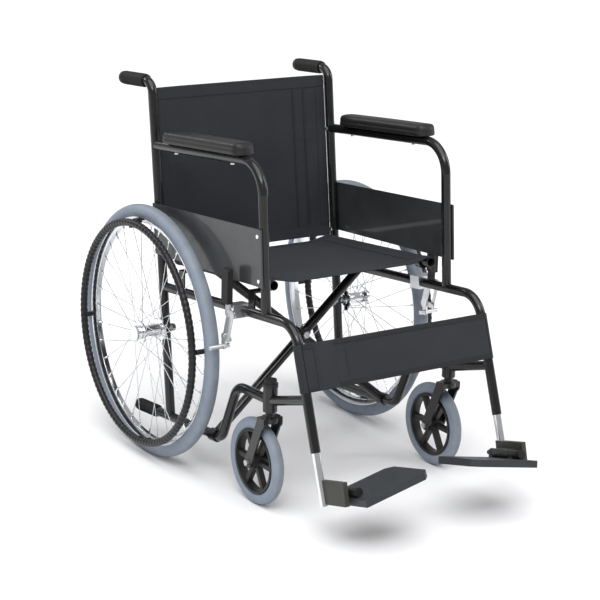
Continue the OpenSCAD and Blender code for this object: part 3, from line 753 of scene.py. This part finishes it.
def make_calf_strap():
    """Strap looped round both hanger tubes: two layers with an overlap near its right end."""
    tall = 0.104
    lean = math.atan2(0.09, 0.2584)    # of the hanger tubes, from upright
    along = Vector((0, math.sin(lean), math.cos(lean)))
    ahead = Vector((0, -math.cos(lean), math.sin(lean)))
    hanger_end = Vector((0, AXLE.y - 0.638, 0.193))
    foot = hanger_end + along * 0.128
    r = TUBE_R + 0.0014
    half = FRAME_X
    width = 2 * half
    layers = {}
    extra = []
    lines = []
    for name, side in (("front", 1), ("rear", -1)):
        def place(s, t, side=side):
            x = half - s * width if side < 0 else s * width - half
            return foot + along * (tall * t) + Vector((x, 0, 0)) + ahead * r * side
        cloth = Cloth(75, 19, width, tall, place)
        bow(cloth, ahead * side, half, -0.0012)
        layers[name] = cloth.piece(f"calf_strap_{name}", NYLON, 0.0012)
        every = list(range(75))
        extra.append(cloth.strip(f"strap_{name}_top_tape", every, [16, 17, 18], TAPE, 0.0009))
        extra.append(cloth.strip(f"strap_{name}_low_tape", every, [0, 1, 2], TAPE, 0.0009))
        for row in (2, 16):
            lines.append(cloth.line([(c, row) for c in every], 0.0019))
        if side > 0:
            extra.append(cloth.strip("strap_overlap", list(range(4, 13)), list(range(19)),
                                     NYLON, 0.0013))
            extra.append(cloth.strip("strap_second_seam", [16, 17], list(range(3, 16)),
                                     NYLON, 0.0009))
            for c in (5, 12, 16, 17):
                lines.append(cloth.line([(c, row) for row in range(1, 18)], 0.0024))
    seams = STITCHES.make("strap_stitches", lines, THREAD)
    for piece in (*layers.values(), *extra, seams):
        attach(piece, "right_side")
        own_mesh(piece)
    for side, sign in SIDES.items():
        def bend(s, t, sign=sign):
            turn = 0.96 * math.pi * (s - 0.5)
            centre = foot + along * (tall * t) + Vector((sign * half, 0, 0))
            side_way = Vector((sign * r * math.cos(turn), 0, 0))
            return centre + side_way + ahead * (sign * r * math.sin(turn))
        cloth = Cloth(21, 19, math.pi * r, tall, bend)
        loop = cloth.piece(f"strap_loop_{side}", NYLON, 0.0012)
        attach(loop, f"{side}_side")
    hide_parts("calf_strap")


def bow(cloth, away, half, depth):
    """Dips a flat strap evenly between its held ends."""
    for i, p in enumerate(cloth.points):
        share = 1 - (p.x / half) ** 2
        cloth.points[i] = p + away * depth * share


# ---------- arm pads ----------

def make_arm_pad(side):
    """Moulded pad: flat base, rounded ends, a lip all round and a crowned top."""
    sign = SIDES[side]
    low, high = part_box(f"arm_pad_{side}")
    width = high[0] - low[0]
    front_u, rear_u, lift = -0.345, -0.008, 0.0112
    long = (rear_u - front_u) / math.cos(TILT)
    tall = 0.028
    back_way = Vector((0, math.cos(TILT), -math.sin(TILT)))
    up = Vector((0, math.sin(TILT), math.cos(TILT)))
    arm_z = 0.742    # the arm tube's height over the floor, level with the axle
    start = Vector((sign * FRAME_X, AXLE.y + front_u, arm_z - front_u * math.tan(TILT)))
    start += up * lift
    # half width share and height share, from the base's edge to the top's middle
    profile = [(0.80, 0.0), (0.93, 0.02), (0.985, 0.10), (1.0, 0.24), (0.985, 0.36),
               (0.955, 0.40), (0.95, 0.46), (0.965, 0.56), (0.93, 0.74), (0.83, 0.88),
               (0.66, 0.955), (0.42, 0.985), (0.2, 0.997), (0.0, 1.0)]
    ring = [(-w, h) for w, h in profile] + [(w, h) for w, h in reversed(profile[:-1])]
    steps = 56
    points = []
    for i in range(steps):
        s = i / (steps - 1)
        run = 0.5 - 0.5 * math.cos(math.pi * s)
        end = min(run, 1 - run) * long
        round_r = width * 0.42
        near = max(0.0, 1 - end / round_r)
        narrow = math.sqrt(max(0.0, 1 - near ** 2.4)) * 0.94 + 0.06
        low_end = max(0.0, 1 - end / 0.014)
        drop = 1 - 0.45 * low_end ** 2
        swell = 1 + 0.02 * math.sin(math.pi * run)
        for w, h in ring:
            height = tall * h * (drop if h > 0.3 else 1) * (swell if h > 0.5 else 1)
            points.append(start + back_way * (run * long) + up * height
                          + Vector((w * narrow * width / 2, 0, 0)))
    faces = grid_faces(len(ring), steps, around=True)
    caps = [tuple(range(len(ring)))[::-1],
            tuple(range((steps - 1) * len(ring), steps * len(ring)))]
    pad = make_piece(f"arm_pad_skin_{side}", points, faces + caps, PAD_SKIN)
    turn_outward(pad)
    fine = pad.modifiers.new("refine", "SUBSURF")
    fine.levels = 1
    fine.render_levels = 1
    apply_modifiers(pad)
    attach(pad, f"{side}_side")
    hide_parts(f"arm_pad_{side}")


def turn_outward(piece):
    """Makes the faces of a closed mesh point outwards."""
    work = bmesh.new()
    work.from_mesh(piece.data)
    bmesh.ops.recalc_face_normals(work, faces=work.faces)
    work.to_mesh(piece.data)
    work.free()


# ---------- wheels ----------

def ring_to_wheel(x):
    """Turns a ring that lies flat at the origin onto a wheel at x."""
    return Matrix.Translation((x, AXLE.y, AXLE.z)) @ Matrix.Rotation(math.pi / 2, 4, "Y")


def make_hand_rim(side):
    sign = SIDES[side]
    ring = SCALLOPS.make(f"hand_rim_grip_{side}", [[(0, 0, 0), (0, 0, 0.001)]], RIM_PLASTIC,
                         Ring_Radius=HAND_RIM_R, Tube_Radius=0.0087, Swell=0.06)
    place_mesh(ring, ring_to_wheel(sign * HAND_RIM_X))
    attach(ring, f"{side}_wheel")
    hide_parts(f"hand_rim_{side}")


def make_nipples(side):
    """A nipple where each spoke meets the rim."""
    sign = SIDES[side]
    count, outer, inner = 36, 0.2605, 0.2475
    lines = []
    for i in range(count):
        a = i * 2 * math.pi / count
        radial = Vector((0, math.cos(a), math.sin(a)))
        base = Vector((sign * WHEEL_X, AXLE.y, AXLE.z))
        lean = Vector((sign * (1 if i % 2 == 0 else -1) * 0.0014, 0, 0))
        lines.append([base + radial * outer, base + radial * inner + lean])
    pegs = PEGS.make(f"nipples_{side}", lines, CHROME, Radius=0.0023, Sides=8)
    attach(pegs, f"{side}_wheel")


def make_grip_ridges(side):
    """Finger ridges on the push handle and on the tipping lever."""
    sign = SIDES[side]
    x = sign * FRAME_X
    bend = post_point(0.883)
    end = Vector((0, AXLE.y + 0.208, 0.874))
    way = (end - bend).normalized()
    handle = [Vector((x, 0, 0)) + end - way * d for d in (0.098, 0.006)]
    tip = Vector((x, AXLE.y + 0.128, 0.084 - 0.128 * math.tan(TILT)))
    rail_way = Vector((0, -math.cos(TILT), math.sin(TILT)))
    lever = [tip + rail_way * d for d in (0.004, 0.082)]
    first = RIDGES.make(f"handle_ridges_{side}", [handle], GRIP_RUBBER, Spacing=0.0052,
                        Ring_Radius=0.0151, Ridge_Radius=0.0011)
    second = RIDGES.make(f"lever_ridges_{side}", [lever], GRIP_RUBBER, Spacing=0.0075,
                         Ring_Radius=0.0141, Ridge_Radius=0.0013)
    for piece in (first, second):
        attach(piece, f"{side}_side")


# ---------- camera, light and floor ----------

def make_camera():
    """Camera at the chair's front right, slightly above."""
    azimuth, elevation, roll = math.radians(-34.12), math.radians(15.81), math.radians(1.5)
    target = Vector((-0.0172, AXLE.y - 0.2211, 0.3954))
    distance = 4.3035
    back = Vector((math.sin(azimuth) * math.cos(elevation),
                   -math.cos(azimuth) * math.cos(elevation), math.sin(elevation)))
    right = Vector((math.cos(azimuth), math.sin(azimuth), 0))
    up = back.cross(right)
    tilted_right = right * math.cos(roll) + up * math.sin(roll)
    tilted_up = up * math.cos(roll) - right * math.sin(roll)
    turn = Matrix((tilted_right, tilted_up, back)).transposed().to_4x4()
    data = bpy.data.cameras.new("camera")
    data.lens = 110.1
    data.sensor_width = 36
    camera = bpy.data.objects.new("camera", data)
    camera.matrix_world = Matrix.Translation(target + back * distance) @ turn
    bpy.context.scene.collection.objects.link(camera)
    bpy.context.scene.camera = camera


def area_light(name, place, aim, size, power):
    data = bpy.data.lights.new(name, "AREA")
    data.shape = "RECTANGLE"
    data.size, data.size_y = size
    data.energy = power
    light = bpy.data.objects.new(name, data)
    light.location = place
    light.rotation_euler = (Vector(place) - Vector(aim)).to_track_quat("Z", "Y").to_euler()
    bpy.context.scene.collection.objects.link(light)


def make_studio():
    """Pale floor, soft lights and a white surround."""
    floor_half = 30
    corners = [(x * floor_half, y * floor_half, 0.0)
               for x, y in ((-1, -1), (1, -1), (1, 1), (-1, 1))]
    paper = Finish("studio paper", Roughness=0.9)
    tone = paper.noise(0.8, 2)
    paper.colour(paper.blend(tone, shade(0.83, 0.83, 0.84), shade(0.86, 0.86, 0.87)))
    floor = make_piece("floor", corners, [(0, 1, 2, 3)], paper.material, smooth=False)
    aim = (0, 0, 0.4)
    area_light("key light", (-1.8, -2.6, 3.4), aim, (1.6, 0.9), 34)
    area_light("side light", (3.2, -1.4, 2.2), aim, (0.7, 1.8), 26)
    area_light("rear light", (-1.5, 3.2, 2.6), aim, (1.8, 0.6), 26)
    sun = bpy.data.lights.new("overhead light", "SUN")
    sun.energy = 2.9
    sun.angle = math.radians(70)
    above = bpy.data.objects.new("overhead light", sun)
    above.rotation_euler = (math.radians(18), math.radians(-14), 0)
    bpy.context.scene.collection.objects.link(above)
    world = bpy.data.worlds.new("surround")
    world.use_nodes = True
    world.node_tree.nodes["Background"].inputs["Color"].default_value = shade(1.0, 1.0, 1.0)
    world.node_tree.nodes["Background"].inputs["Strength"].default_value = 0.42
    bpy.context.scene.world = world
    bpy.context.scene.view_settings.view_transform = "Standard"


make_camera()
make_studio()
finish_nodes()
make_seat()
make_back()
make_calf_strap()
for chair_side in SIDES:
    make_arm_pad(chair_side)
    make_hand_rim(chair_side)
    make_nipples(chair_side)
    make_grip_ridges(chair_side)
